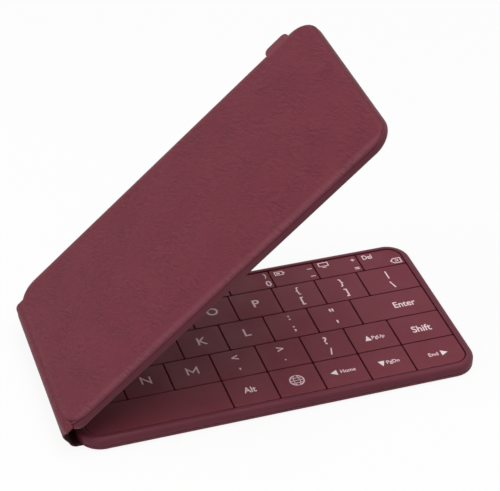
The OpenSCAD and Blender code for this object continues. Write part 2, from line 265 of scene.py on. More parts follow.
def plastic(name, code, dark_code, roughness, grain, depth, specular=0.3, streak=(1, 1, 1)):
    """Moulded plastic with a fine eroded texture and slow changes of colour and gloss."""
    color, dark = linear(code), linear(dark_code)
    material, tree, shader = new_material(name, color, roughness, specular=specular)
    where = object_mm(tree, streak)
    fine = noise_node(tree, where, grain, 3.0, 0.6)
    slow = noise_node(tree, where, 0.09)
    bump(tree, shader, fine, depth, 0.8)
    share = ramp_node(tree, slow, 0.3, 0.7, 0.0, 0.6)
    tree.links.new(mix_color(tree, share, color, dark), shader.inputs["Base Color"])
    rough = ramp_node(tree, slow, 0.3, 0.7, roughness - 0.06, roughness + 0.06)
    tree.links.new(rough, shader.inputs["Roughness"])
    return material


def metal(name, code, roughness, stretch=(1, 1, 1), metallic=1.0):
    """Bare metal with fine brush marks."""
    color = linear(code)
    material, tree, shader = new_material(name, color, roughness, metallic)
    marks = noise_node(tree, object_mm(tree, stretch), 4.0, 3.0, 0.6)
    bump(tree, shader, marks, 0.000004, 0.6)
    rough = ramp_node(tree, marks, 0.3, 0.7, roughness - 0.08, roughness + 0.1)
    tree.links.new(rough, shader.inputs["Roughness"])
    return material


# The pads' and tab's leather has a painted highlight on its rolled edges and painted shade at its -x end;
# the spine's has neither
LEATHER = leather("leather", 0.28)
SPINE_LEATHER = leather("spine_leather", 0.0)
# Dark colour on the spine's inner face: painted shade of the hollow inside the fold
SPINE_INNER_SHADE = plastic("spine_inner_shade", "3a1c22", "2c1418", 0.8, 5.0, 0.00002, 0.2)
FRAME_PLASTIC = plastic(
    "frame_plastic", "6a2c3a", "622634", 0.5, 2.4, 0.000012, 0.25, (0.35, 0.35, 1.5))
KEY_PLASTIC = plastic("key_plastic", "752e3b", "712c38", 0.5, 7.0, 0.000006, 0.25)
INK = plastic("ink", "ffe2e8", "fadae1", 0.6, 6.0, 0.000004, 0.3)
BRIGHT_INK = plastic("bright_ink", "fbf1f3", "f4e6e9", 0.6, 6.0, 0.000004, 0.3)
STEEL = metal("steel", "a4a6aa", 0.35, (0.2, 2.0, 1.0))
GOLD = metal("gold", "d8ab57", 0.25)
MEMBRANE = plastic("membrane", "d02c45", "c0263c", 0.5, 3.0, 0.00001)
RUBBER = plastic("rubber", "6a2a34", "5e2430", 0.6, 3.0, 0.00001)
BOARD = plastic("board", "1d4a30", "17402a", 0.45, 1.2, 0.00002)
FOIL = metal("foil", "8f949c", 0.4, (1, 1, 1), 0.8)
FLEX_FILM = plastic("flex_film", "9a5a22", "8a4f1e", 0.35, 0.8, 0.00001, 0.5, (0.1, 3.0, 1.0))


# Mesh helpers

# Distance at which vertices merge, angle past which edges stay sharp, and a post's chamfer as a share
# of its radius
MERGE = 1e-4
SHARP_ANGLE = 40
POST_CHAMFER = 0.2


def smooth(value):
    """Runs smoothly from 0 at 0 to 1 at 1."""
    t = min(1.0, max(0.0, value))
    return t * t * (3 - 2 * t)


def quarter(steps):
    """Cosine and sine at even steps through a right angle."""
    turns = [math.pi / 2 * k / steps for k in range(steps + 1)]
    return [(math.cos(turn), math.sin(turn)) for turn in turns]


def loop_points(half_x, half_y, radius, steps):
    """A round-cornered rectangle, anticlockwise. steps: parts of a corner, of a side along X and along Y."""
    corner, along_x, along_y = steps
    cx, cy = half_x - radius, half_y - radius
    centres = [(cx, -cy), (cx, cy), (-cx, cy), (-cx, -cy)]
    points = []
    for turn in range(4):
        (ax, ay), (bx, by) = centres[turn], centres[(turn + 1) % 4]
        start = turn * math.pi / 2
        ux, uy = radius * math.cos(start), radius * math.sin(start)
        count = along_y if turn % 2 == 0 else along_x
        points += [(ax + ux + (bx - ax) * k / count, ay + uy + (by - ay) * k / count) for k in range(count)]
        for k in range(corner):
            angle = start + math.pi / 2 * k / corner
            points.append((bx + radius * math.cos(angle), by + radius * math.sin(angle)))
    return points


def bridge(bm, lower, upper):
    """Joins two closed loops of vertices with a band of faces."""
    for k in range(len(lower)):
        n = (k + 1) % len(lower)
        bm.faces.new((lower[k], lower[n], upper[n], upper[k]))


def skin(bm, loops):
    """Joins each closed loop to the next."""
    for lower, upper in zip(loops, loops[1:]):
        bridge(bm, lower, upper)


def sweep(bm, rings, steps, height=None):
    """Skins a stack of round-cornered rectangles (half_x, half_y, radius, z); returns their vertex loops."""
    loops = []
    for half_x, half_y, radius, z in rings:
        points = loop_points(half_x, half_y, max(radius, 0.0), steps)
        loops.append([bm.verts.new((x, y, z if height is None else height(x, y, z))) for x, y in points])
    skin(bm, loops)
    return loops


def inset(distance, z):
    """The outline of a half, moved inwards."""
    return (HALF_X - distance, HALF_Y - distance, CORNER_R - distance, z)


def block(bm, low, high):
    """A box between two corners."""
    made = bmesh.ops.create_cube(bm, size=1.0)["verts"]
    for v in made:
        v.co = [(low[i] + high[i]) / 2 + v.co[i] * (high[i] - low[i]) for i in range(3)]


def post(bm, x, y, radius, low, high, sides=16):
    """An upright cylinder with a small chamfer at its top."""
    rings = []
    turn = [2 * math.pi * k / sides for k in range(sides)]
    for r, z in ((radius, low), (radius, high - radius * POST_CHAMFER), (radius * (1 - POST_CHAMFER), high)):
        rings.append([bm.verts.new((x + r * math.cos(a), y + r * math.sin(a), z)) for a in turn])
    skin(bm, rings)
    bm.faces.new(rings[2])
    bm.faces.new(list(reversed(rings[0])))


def new_object(name, data):
    """An object in the scene."""
    made = bpy.data.objects.new(name, data)
    bpy.context.scene.collection.objects.link(made)
    return made


def to_object(name, bm, materials, place, sharp=SHARP_ANGLE):
    """Turns a bmesh in millimetres into an object at its place."""
    bmesh.ops.remove_doubles(bm, verts=bm.verts, dist=MERGE)
    bmesh.ops.recalc_face_normals(bm, faces=bm.faces)
    mesh = bpy.data.meshes.new(name)
    bm.to_mesh(mesh)
    bm.free()
    mesh.transform(Matrix.Scale(MM, 4))
    for material in materials:
        mesh.materials.append(material)
    mesh.shade_smooth()
    mesh.set_sharp_from_angle(angle=math.radians(sharp))
    made = new_object(name, mesh)
    made.matrix_world = place @ Matrix.Scale(1 / MM, 4)
    return made


def piece(name, bm, material, place, body, replaced=(), sharp=SHARP_ANGLE):
    """Makes a piece that rides on a body, takes a material slot and may stand for CAD nodes."""
    made = to_object(name, bm, [material], place, sharp)
    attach(made, body)
    if replaced:
        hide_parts(*replaced)
    return made


def flat_uv(bm):
    """UV map in millimetres, seen from above the half."""
    layer = bm.loops.layers.uv.new("flat")
    for face in bm.faces:
        for corner in face.loops:
            corner[layer].uv = corner.vert.co.xy


def cut(target, bm):
    """Cuts a bmesh, in the target's own millimetres, out of the target's mesh."""
    tool = to_object("cutter", bm, [], target.matrix_world @ Matrix.Scale(MM, 4))
    modifier = target.modifiers.new("cut", "BOOLEAN")
    modifier.operation = "DIFFERENCE"
    modifier.solver = "EXACT"
    modifier.object = tool
    bpy.context.view_layer.update()
    shape = bpy.data.meshes.new_from_object(target.evaluated_get(bpy.context.evaluated_depsgraph_get()))
    target.modifiers.clear()
    target.data = shape
    shape.set_sharp_from_angle(angle=math.radians(SHARP_ANGLE))
    bpy.data.objects.remove(tool)


# Leather covers

# Mesh parts of a corner, and of sides along X and Y
PAD_STEPS = (12, 48, 22)

# Where in the noise each pad's waves are taken
BASE_SEED, LID_SEED = 1.0, 9.0

# Rolled edge: width on each half, mesh parts, and the power that squares its section
LID_ROLL, BASE_ROLL, PAD_ROLL_STEPS = 2.0, 1.5, 12
PAD_POWER = 2 / 2.4

# Fall of the face near its edge, and its faint waves
PAD_FALL, PAD_FALL_RUN = 0.08, 5
PAD_WAVE = 0.03
WAVE_LONG, WAVE_SHORT, WAVE_FADE = 17, 8, 3

# Leather turned up round the frame: run in under it, distances in from the side with heights
# against its upper edge, and height below which the edge rolls
TURNED_IN = 0.4
TURNED_UP = [(EDGE_W, -0.1), (EDGE_W - 0.1, 0.0), (0.30, 0.0), (0.14, -0.03), (0.03, -0.14)]
TURNED_DOWN = 0.3

# Outline rings of the face, from the side
FACE_RINGS = (3.3, 4.2, 5.6, 7.2, CORNER_R)


def pad_height(seed, roll):
    """Height of the pad's outer face: it falls a little towards its edge and is faintly wavy."""
    def height(x, y, z):
        if z > 0.0:
            return z
        edge = min(HALF_X - abs(x), HALF_Y - abs(y))
        wave = noise.noise(Vector((x / WAVE_LONG, y / WAVE_LONG, seed)))
        wave += 0.5 * noise.noise(Vector((x / WAVE_SHORT, y / WAVE_SHORT, seed + 5)))
        fade = min(1.0, max(0.0, (edge - roll) / WAVE_FADE))
        return PAD_FALL * math.exp(-(edge - roll) / PAD_FALL_RUN) + PAD_WAVE * (1.2 + wave) * fade
    return height


def make_pad(name, place, body, node, seed, roll):
    """Leather-covered pad with a soft rolled edge."""
    bm = bmesh.new()
    height = pad_height(seed, roll)
    rings = [inset(EDGE_W + TURNED_IN, COVER_T), inset(EDGE_W, COVER_T)]
    rings += [inset(distance, COVER_EDGE + up) for distance, up in TURNED_UP]
    side = COVER_EDGE - TURNED_DOWN
    for c, s in quarter(PAD_ROLL_STEPS)[:-1]:
        rings.append(inset(roll * (1 - c ** PAD_POWER), side - (side - PAD_FALL) * s ** PAD_POWER))
    flat = [inset(distance, 0.0) for distance in (roll, *FACE_RINGS)]
    loops = sweep(bm, rings + flat, PAD_STEPS, height)
    bm.faces.new(loops[0])
    nx, ny = PAD_STEPS[1:]
    fx, fy = HALF_X - CORNER_R, HALF_Y - CORNER_R
    across = [fx * (2 * i / nx - 1) for i in range(nx + 1)]
    upward = [fy * (2 * j / ny - 1) for j in range(ny + 1)]
    grid = [[bm.verts.new((x, y, height(x, y, 0.0))) for x in across] for y in upward]
    for j in range(ny):
        for i in range(nx):
            bm.faces.new((grid[j][i], grid[j][i + 1], grid[j + 1][i + 1], grid[j + 1][i]))
    bmesh.ops.remove_doubles(bm, verts=bm.verts, dist=MERGE)
    flat_uv(bm)
    piece(name, bm, LEATHER, place, body, [node], 50)


# Frames

FRAME_STEPS = (16, 1, 1)

# Clearance to the leather beside and under the frame
LEATHER_GAP, UNDER_GAP = 0.03, 0.02

# Eased lower edge of the rim: distances in from the side, with heights against the crease's top
RIM_FOOT = [(CREASE, -0.05), (0.12, 0.03), (0.03, 0.1), (0.0, 0.22)]

# Mesh parts of the rim's round top, and radius and mesh parts of its inner edge
RIM_STEPS = 12
INNER_ROUND, INNER_STEPS = 0.22, 5

# Heat stakes and ribs; SUNK is how far they run into the floor
SUNK = 0.01
STAKE_X = [k * 2 * (OPENING_X - LEDGE_W) / 8 for k in (-3, -1, 1, 3)]
RIB_W = 1.4
BOARD_RIB_Y, FRONT_RIB_Y = 20.1, -23.1
BATTERY_RIB_X = 22.25
STAKE_R = 0.8

# How far the lid frame's front corner at the fold is filled out
LID_CORNER_FILL = 1.7


def fill_corner(bm, amount):
    """Fills out the frame's corner at +x, -y, outside the opening."""
    cx, cy = HALF_X - CORNER_R, CORNER_R - HALF_Y
    for v in bm.verts:
        away = Vector((v.co.x - cx, v.co.y - cy))
        if away.x <= 0 or away.y >= 0:
            continue
        share = smooth((away.length - OPENING_R) / (CORNER_R - RIM_ROUND - OPENING_R))
        push = away.normalized() * (amount * share * math.sin(2 * math.atan2(-away.y, away.x)) ** 2)
        v.co.x += push.x
        v.co.y += push.y


def make_frame(name, place, body, node, ribs, filled=0.0):
    """Tray with a rounded rim, a ledge for the plate, ribs and heat stakes. filled fills its corner out."""
    bm = bmesh.new()
    crease_top = COVER_EDGE + CREASE
    inner = EDGE_W + LEATHER_GAP
    rings = [inset(inner, COVER_T + UNDER_GAP), inset(inner, COVER_EDGE + LEATHER_GAP),
             inset(CREASE, COVER_EDGE + LEATHER_GAP)]
    rings += [inset(distance, crease_top + up) for distance, up in RIM_FOOT]
    for c, s in quarter(RIM_STEPS):
        rings.append(inset(RIM_ROUND * (1 - c), FRAME_TOP - RIM_ROUND * (1 - s)))
    for c, s in quarter(INNER_STEPS):
        out, z = INNER_ROUND * (1 - s), FRAME_TOP - INNER_ROUND * (1 - c)
        rings.append((OPENING_X + out, OPENING_Y + out, OPENING_R + out, z))
    bay = (OPENING_X - LEDGE_W, OPENING_Y - LEDGE_W, OPENING_R - LEDGE_W)
    rings += [(OPENING_X, OPENING_Y, OPENING_R, LEDGE_Z), (*bay, LEDGE_Z), (*bay, FLOOR_Z)]
    loops = sweep(bm, rings, FRAME_STEPS)
    bm.faces.new(loops[0])
    bm.faces.new(loops[-1])
    fill_corner(bm, filled)
    for low, high in ribs:
        block(bm, (*low, FLOOR_Z - SUNK), (*high, LEDGE_Z))
    for x in STAKE_X:
        for y in (BOARD_RIB_Y, FRONT_RIB_Y):
            post(bm, x, y, STAKE_R, FLOOR_Z - SUNK, STAKE_TOP)
    return piece(name, bm, FRAME_PLASTIC, place, body, [node])


def make_frames():
    """Both frames with their ribs; returns the right one."""
    bay_x, bay_y = OPENING_X - LEDGE_W, OPENING_Y - LEDGE_W
    half_rib = RIB_W / 2
    base_ribs = [((-bay_x, y - half_rib), (bay_x, y + half_rib)) for y in (BOARD_RIB_Y, FRONT_RIB_Y)]
    base_ribs.append(((BATTERY_RIB_X - half_rib, FRONT_RIB_Y), (BATTERY_RIB_X + half_rib, BOARD_RIB_Y)))
    lid_ribs = [((x - half_rib, -bay_y), (x + half_rib, bay_y)) for x in STAKE_X]
    base_shell = make_frame("base_shell", BASE, "base", "base_frame", base_ribs)
    make_frame("lid_shell", LID, "lid", "lid_frame", lid_ribs, LID_CORNER_FILL)
    return base_shell


# Key caps

# Widths in pitches, by row: the right half's last key and its others, and the left half's first
RIGHT_LAST = [0.99, 1.2, 1.7, 1.18, 1.18]
RIGHT_STEP = [1.04, 1, 1, 1, 1]
LEFT_FIRST = [1, 1.5, 1.75, 2.25, 1]
LEFT_PITCHES = 7

# Edges closer than this are the same
SAME_EDGE = 0.01


def row_box(row):
    """Front and back edge of a key row, from the field's middle."""
    front = (4 - row) * ROW_PITCH - FIELD_W / 2
    return front, front + (NUMBER_ROW if row == 0 else ROW_PITCH)


def right_edges(row, count):
    """Ends and seams of a row of the right half, from the field's middle."""
    last, step = RIGHT_LAST[row], RIGHT_STEP[row]
    inner = [FIELD_L - KEY_PITCH * (last + step * (count - 1 - k)) for k in range(1, count)]
    return [x - FIELD_L / 2 for x in [0, *inner, FIELD_L]]


def left_edges(row, count):
    """The same for the left half."""
    inner = [FIELD_L / LEFT_PITCHES * (LEFT_FIRST[row] + k) for k in range(count - 1)]
    return [x - FIELD_L / 2 for x in [0, *inner, FIELD_L]]


def cap_loop(x0, x1, y0, y1, away):
    """Outline of a key, away from its own edge, with a large radius where it fills a corner of the field."""
    limit_x, limit_y = FIELD_L / 2, FIELD_W / 2
    gap = KEY_SEAM / 2
    corners = [(x1, y0, 1, -1), (x1, y1, 1, 1), (x0, y1, -1, 1), (x0, y0, -1, -1)]
    points = []
    for turn, (x, y, sx, sy) in enumerate(corners):
        at_end = abs(abs(x) - limit_x) < SAME_EDGE
        outer = at_end and abs(abs(y) - limit_y) < SAME_EDGE
        radius = (FIELD_R - gap if outer else KEY_CORNER) - away
        cx = x - sx * ((END_GAP if at_end else gap) + away + radius)
        cy = y - sy * (gap + away + radius)
        steps = FIELD_CORNER_STEPS if outer else KEY_CORNER_STEPS
        for k in range(steps + 1):
            angle = -math.pi / 2 + turn * math.pi / 2 + math.pi / 2 * k / steps
            points.append((cx + radius * math.cos(angle), cy + radius * math.sin(angle)))
    return points


def add_cap(bm, x0, x1, y0, y1):
    """One key cap: a thin plate with a small rounded edge."""
    profile = [(KEY_FOOT_IN, KEY_UNDER), (0.0, KEY_UNDER + KEY_FOOT_UP), (0.0, KEY_TOP - KEY_EDGE)]
    profile += [(KEY_EDGE * (1 - c), KEY_TOP - KEY_EDGE * (1 - s)) for c, s in quarter(KEY_EDGE_STEPS)[1:]]
    profile.append((KEY_EDGE + KEY_FLAT_IN, KEY_TOP))
    loops = [[bm.verts.new((x, y, z)) for x, y in cap_loop(x0, x1, y0, y1, away)] for away, z in profile]
    skin(bm, loops)
    bm.faces.new(loops[-1])
    bm.faces.new(loops[0])


# Legends

# Ink: bottom and top, line widths, thickening of the font, and limit of a mitre
INK_LOW, INK_HIGH = KEY_TOP - 0.02, KEY_TOP + 0.012
STROKE, THIN_STROKE, GLOBE_STROKE, CHARGE_STROKE = 0.5, 0.42, 0.28, 0.9
TEXT_WEIGHT = 0.016
SHARPEST_MITRE = 0.35

# Arrows, an icon's triangle, globe, and distances of marks from a key's right and left edge
ARROW_W, ARROW_H = 2.6, 2.9
TRIANGLE = (1.5, 1.9)
GLOBE_R = 2.6
FROM_RIGHT, FROM_LEFT = 2.1, 4.0


def prism(bm, points):
    """A thin plate of ink over a polygon on the key."""
    low = [bm.verts.new((x, y, INK_LOW)) for x, y in points]
    high = [bm.verts.new((x, y, INK_HIGH)) for x, y in points]
    bridge(bm, low, high)
    bm.faces.new(high)
    bm.faces.new(low)


def ribbon(bm, points, width=STROKE, closed=False):
    """A line of ink along points, mitred at its bends."""
    vectors = [Vector(p) for p in points]
    count = len(vectors)
    sides = []
    for k, p in enumerate(vectors):
        before = vectors[k - 1] if closed or k else None
        after = vectors[(k + 1) % count] if closed or k < count - 1 else None
        lead = (p - before).normalized() if before is not None else (after - p).normalized()
        tail = (after - p).normalized() if after is not None else lead
        middle = (lead + tail).normalized()
        across = Vector((-middle.y, middle.x)) * (width / 2 / max(SHARPEST_MITRE, middle.dot(lead)))
        sides.append((p + across, p - across))
    for k in range(count if closed else count - 1):
        (a, b), (c, d) = sides[k], sides[(k + 1) % count]
        prism(bm, [b, d, c, a])


def placed(points, x, y):
    """Points of an icon, moved to its place on the key."""
    return [(x + dx, y + dy) for dx, dy in points]


def oval(cx, cy, rx, ry, start=0, end=360, steps=24):
    """Points round an ellipse, or along the part of it between two angles in degrees."""
    angles = [math.radians(start + (end - start) * k / steps) for k in range(steps + (end - start != 360))]
    return [(cx + rx * math.cos(a), cy + ry * math.sin(a)) for a in angles]


text_curve = bpy.data.curves.new("text", "FONT")
text_curve.extrude = 0.5
text_curve.offset = TEXT_WEIGHT
text_source = new_object("text", text_curve)


def write(bm, text, size, x, y):
    """Writes a word in the built-in font around x, y. size is the ink's height, or its width and height."""
    text_curve.body = text
    bpy.context.view_layer.update()
    mesh = text_source.evaluated_get(bpy.context.evaluated_depsgraph_get()).to_mesh()
    low = [min(v.co[i] for v in mesh.vertices) for i in (0, 1)]
    high = [max(v.co[i] for v in mesh.vertices) for i in (0, 1)]
    scale_x = scale_y = (size[1] if isinstance(size, tuple) else size) / (high[1] - low[1])
    if isinstance(size, tuple):
        scale_x = size[0] / (high[0] - low[0])
    made = []
    for v in mesh.vertices:
        px = x + (v.co.x - (low[0] + high[0]) / 2) * scale_x
        py = y + (v.co.y - (low[1] + high[1]) / 2) * scale_y
        made.append(bm.verts.new((px, py, INK_HIGH if v.co.z > 0 else INK_LOW)))
    for face in mesh.polygons:
        try:
            bm.faces.new([made[i] for i in face.vertices])
        except ValueError:
            pass
    text_source.to_mesh_clear()


def arrow(bm, x, y, wide, tall, direction):
    """A solid triangle that points along direction."""
    dx, dy = direction
    half_w, half_h = wide / 2, tall / 2
    if dx:
        points = [(x + dx * half_w, y), (x - dx * half_w, y + half_h), (x - dx * half_w, y - half_h)]
    else:
        points = [(x, y + dy * half_h), (x - half_w, y - dy * half_h), (x + half_w, y - dy * half_h)]
    prism(bm, points if dx < 0 or dy > 0 else list(reversed(points)))


def thin_lines(bm, x, y, outline, *lines):
    """A closed outline and a few lines of an icon."""
    ribbon(bm, placed(outline, x, y), THIN_STROKE, True)
    for line in lines:
        ribbon(bm, placed(line, x, y), THIN_STROKE)


def battery_icon(bm, x, y):
    thin_lines(bm, x, y, [(-1.9, -1), (1.3, -1), (1.3, 1), (-1.9, 1)], [(1.8, -0.45), (1.8, 0.45)])
    ribbon(bm, placed([(-1.25, 0), (0.1, 0)], x, y), CHARGE_STROKE)


def screen_icon(bm, x, y):
    outline = [(-1.9, -0.6), (1.9, -0.6), (1.9, 1.5), (-1.9, 1.5)]
    thin_lines(bm, x, y, outline, [(-0.9, -1.45), (0.9, -1.45)], [(0, -1.45), (0, -0.6)])


def backspace_icon(bm, x, y):
    outline = [(-2.1, 0), (-0.9, -1.4), (2.0, -1.4), (2.0, 1.4), (-0.9, 1.4)]
    thin_lines(bm, x, y, outline, [(-0.25, -0.6), (1.05, 0.6)], [(-0.25, 0.6), (1.05, -0.6)])


def globe_icon(bm, x, y):
    """A plain globe: a circle, an oval inside it, the equator and two parallels."""
    ribbon(bm, oval(x, y, GLOBE_R, GLOBE_R, steps=36), STROKE, True)
    ribbon(bm, oval(x, y, GLOBE_R * 0.45, GLOBE_R, steps=28), GLOBE_STROKE, True)
    ribbon(bm, placed([(-GLOBE_R, 0), (GLOBE_R, 0)], x, y), GLOBE_STROKE)
    for side in (-1, 1):
        half, up = GLOBE_R * 0.87, side * GLOBE_R * 0.5
        ribbon(bm, placed([(-half, up), (half, up)], x, y), GLOBE_STROKE)


def play_icon(bm, x, y):
    """A triangle with two bars beside it."""
    arrow(bm, x - 0.5, y, *TRIANGLE, (1, 0))
    for out in (0.9, 1.6):
        ribbon(bm, [(x + out, y - 0.95), (x + out, y + 0.95)], THIN_STROKE)


def skip_icon(side):
    """Two triangles that point to one side."""
    def draw(bm, x, y):
        for out in (-0.8, 0.8):
            arrow(bm, x + out, y, *TRIANGLE, (side, 0))
    return draw


def speaker_icon(bm, x, y):
    outline = [(-1.8, -0.45), (-1.0, -0.45), (0, -1.1), (0, 1.1), (-1.0, 0.45), (-1.8, 0.45)]
    prism(bm, placed(outline, x, y))
    for radius in (1.0, 1.8):
        ribbon(bm, oval(x, y, radius, radius, -45, 45, 8), THIN_STROKE)


# Height of a letter and its shift, and height and places of marks on the number row
LETTER, LETTER_SHIFT = 4.2, 0.3
DIGIT, DIGIT_Y, ICON_Y = 3.3, 2.4, 2.5

# Letters drawn as one line: half the width, and corners in half widths and half heights
LETTER_STROKE = 0.58
STROKE_LETTERS = {
    "M": (1.95, [(-1, -1), (-1, 1), (0, -0.35), (1, 1), (1, -1)]),
    "N": (1.6, [(-1, -1), (-1, 1), (1, -1), (1, 1)]),
}

# Width and height of a dash
DASH = (2.0, 0.45)


def stroke_letter(text):
    """A letter whose strokes meet at sharp angles, drawn as one line."""
    half_w, corners = STROKE_LETTERS[text]
    half_h = (LETTER - LETTER_STROKE) / 2

    def draw(bm, x, y):
        ribbon(bm, [(x + dx * half_w, y + dy * half_h) for dx, dy in corners], LETTER_STROKE)
    return draw


def letter(text):
    if text in STROKE_LETTERS:
        return [(stroke_letter(text), 0, LETTER_SHIFT, LETTER_SHIFT)]
    return [(text, LETTER, LETTER_SHIFT, LETTER_SHIFT)]


def letters(text):
    """Letter keys of the right half, with their names."""
    return [(character.lower(), letter(character)) for character in text]


def pair(upper, upper_h, upper_y, lower, lower_h, lower_y, x=0.0):
    """Key with two signs, one above the other."""
    return [(upper, upper_h, x, upper_y), (lower, lower_h, x, lower_y)]


def digit(text, sign, sign_h, icon=None):
    """Number-row key: digit and sign at its right edge, icon at its left."""
    marks = [(text, DIGIT, "right", -DIGIT_Y), (sign, sign_h, "right", DIGIT_Y)]
    return marks + ([(icon, 0, "left", ICON_Y)] if icon else [])


# Right keys by row, from the back: name and marks. A mark is a word, a drawing or an arrow's
# direction, then its height and its place on the key.
RIGHT_KEYS = [
    [("6", digit("6", "^", 1.4, skip_icon(-1))), ("7", digit("7", "&", 2.8, play_icon)),
     ("8", digit("8", "*", 1.7, skip_icon(1))), ("9", digit("9", "(", 3.2, speaker_icon)),
     ("0", digit("0", ")", 3.2)),
     ("minus", [("-", DASH, "right", -2.8), ("_", DASH, "right", 1.9), (battery_icon, 0, "left", 2.6)]),
     ("equals", [("=", 1.3, "right", -3.0), ("+", 1.7, "right", 2.4), (screen_icon, 0, "left", 2.6)]),
     ("delete", [("Del", (3.9, 2.7), -4.7, 2.6), (backspace_icon, 0, 5.5, -2.7)])],
    [*letters("YUIOP"),
     ("bracket_left", pair("{", 4.7, 3.0, "[", 4.7, -3.2, 0.5)),
     ("bracket_right", pair("}", 4.7, 3.0, "]", 4.7, -3.2, 0.9)),
     ("backslash", pair("|", 4.6, 2.6, "\\", 3.9, -3.6, 0.5))],
    [*letters("HJKL"),
     ("semicolon", pair(":", 2.5, 3.9, ";", 3.3, -2.9, 0.6)),
     ("quote", pair('"', 1.8, 3.6, "'", 1.8, -3.4)),
     ("enter", [("Enter", (8.7, 3.5), 4.5, -0.5)])],
    [*letters("BNM"),
     ("comma", pair("<", 2.7, 3.1, ",", 1.3, -3.4, -0.2)),
     ("period", pair(">", 2.7, 3.0, ".", 0.6, -3.3, -0.2)),
     ("slash", pair("?", 4.2, 2.7, "/", 3.7, -3.7)),
     ("up", [("PgUp", (5.0, 2.3), 2.1, -0.9), ((0, 1), 0, -2.0, -0.6)]),
     ("shift", [("Shift", (7.6, 3.6), 0.4, -0.8)])],
    [("space", []), ("alt", [("Alt", (4.6, 3.1), -0.55, 0.15)]), ("globe", [(globe_icon, 0, -0.15, 0.0)]),
     ("left", [("Home", (5.8, 1.9), 2.0, 0.0), ((-1, 0), 0, -3.5, -0.1)]),
     ("down", [("PgDn", (5.0, 2.3), 2.1, -0.3), ((0, -1), 0, -2.2, -0.4)]),
     ("right", [("End", (3.8, 1.9), -1.3, -0.85), ((1, 0), 0, 3.1, -0.9)])],
]

# Left keys by row, from the back: the row's node and the marks of each key
LEFT_ROWS = [
    ("left_number_row_keys", [
        [("Esc", 2.7, -4.7, 2.4)], pair("~", 0.8, 2.4, "`", 1.0, -1.8), digit("1", "!", 3.2),
        digit("2", "@", 2.9), digit("3", "#", 2.9), digit("4", "$", 3.3), digit("5", "%", 2.8)]),
    ("left_top_row_keys", [[("Tab", 3.4, -5.0, 0.3)], *map(letter, "QWERT")]),
    ("left_home_row_keys", [[("Caps", 4.4, -5.0, 0.0)], *map(letter, "ASDFG")]),
    ("left_bottom_row_keys", [[("Shift", 3.6, -8.0, 0.3)], *map(letter, "ZXCV")]),
    ("left_space_row_keys", [*([(word, 3.1, 0.0, 0.2)] for word in ("Fn", "Ctrl", "Alt", "Cmd")), []]),
]


def draw_legends(bm, marks, x0, x1, y0, y1):
    """Draws a key's marks; arrows go to a second bmesh, because their ink is brighter."""
    middle = (y0 + y1) / 2
    sides = {"right": x1 - FROM_RIGHT, "left": x0 + FROM_LEFT}
    arrows = bmesh.new()
    for mark, height, x, y in marks:
        place = sides[x] if x in sides else (x0 + x1) / 2 + x
        if isinstance(mark, str):
            write(bm, mark, height, place, middle + y)
        elif callable(mark):
            mark(bm, place, middle + y)
        else:
            arrow(arrows, place, middle + y, ARROW_W, ARROW_H, mark)
    return arrows


def right_keys():
    """Name, marks and box of each right key."""
    for row, keys in enumerate(RIGHT_KEYS):
        edges = right_edges(row, len(keys))
        for k, (short, marks) in enumerate(keys):
            yield short, marks, (edges[k], edges[k + 1], *row_box(row))


def make_right_keys():
    for short, marks, box in right_keys():
        node = "key_" + short
        bm, ink = bmesh.new(), bmesh.new()
        add_cap(bm, *box)
        piece("cap_" + short, bm, KEY_PLASTIC, BASE, node, [node])
        arrows = draw_legends(ink, marks, *box)
        for name, shape, material in (("legend_", ink, INK), ("arrow_", arrows, BRIGHT_INK)):
            if shape.faces:
                piece(name + short, shape, material, BASE, node, (), 30)


def make_left_keys():
    for row, (node, keys) in enumerate(LEFT_ROWS):
        edges = left_edges(row, len(keys))
        bm, ink = bmesh.new(), bmesh.new()
        for k, marks in enumerate(keys):
            box = (edges[k], edges[k + 1], *row_box(row))
            add_cap(bm, *box)
            draw_legends(ink, marks, *box).free()
        piece(node.replace("_keys", "_caps"), bm, KEY_PLASTIC, LID, node, [node])
        piece(node.replace("_keys", "_legends"), ink, INK, LID, node, (), 30)


# Rubber domes and scissors


def switch_group(name, node, half, place, box):
    """A node's domes and scissors inside a box on the half."""
    x0, x1, y0, y1 = box
    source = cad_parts[node]
    bm = bmesh.new()
    bm.from_mesh(source.data)
    bm.transform(place.inverted() @ source.matrix_world)
    middles = [(face, face.calc_center_median()) for face in bm.faces]
    others = [face for face, m in middles if not (x0 < m.x < x1 and y0 < m.y < y1)]
    bmesh.ops.delete(bm, geom=others, context="FACES")
    made = piece(name, bm, RUBBER, place, half, [node])
    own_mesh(made)


def make_switches():
    """One group under each right key, and one under each row of left keys."""
    for short, _, box in right_keys():
        switch_group("switch_" + short, "base_key_switches", "base", BASE, box)
    for row, keys in enumerate(LEFT_ROWS):
        name = keys[0].replace("_keys", "")
        box = (-HALF_X, HALF_X, *row_box(row))
        switch_group(name + "_switches", "lid_key_switches", "lid", LID, box)


# Leather and cable across the fold

HALF_ANGLE = LID_ANGLE / 2


def fold_point(away, up):
    """A point of the plane that splits the fold: away from the fold line, and up towards the lid."""
    c, s = math.cos(HALF_ANGLE), math.sin(HALF_ANGLE)
    return Vector((FOLD_X + away * c - up * s, 0, away * s + up * c))


# Mesh parts of a strip's middle line: straight stretch, bend and half the link
STRAIGHT_STEPS, BEND_STEPS, LINK_STEPS = 24, 16, 12

# Bulge of the spine's middle, and depth, distance from the fold line and width of its crease
SPINE_BOW = 0.8
SPINE_DIP, DIP_AT, DIP_WIDTH = 0.2, 18.9, 0.8

# How far the spine runs in under a cover
SPINE_TAIL = 2.0

# Flare of the spine's front edge beside the left half: width, start across the strip, sinking,
# rate at which it fades, and rows that round its end
FLARE, FLARE_FROM, FLARE_SINK, FLARE_FADE = 3.9, 29.0, 1.3, 2.6
FLARE_ROUND_STEPS = 5

# Mesh parts across the two strips and round an edge, and widths of their round edges
SPINE_PARTS, FLEX_PARTS, STRIP_EDGE_STEPS = 24, 4, 8
SPINE_ROUND, FLEX_ROUND = 0.4, 0.08

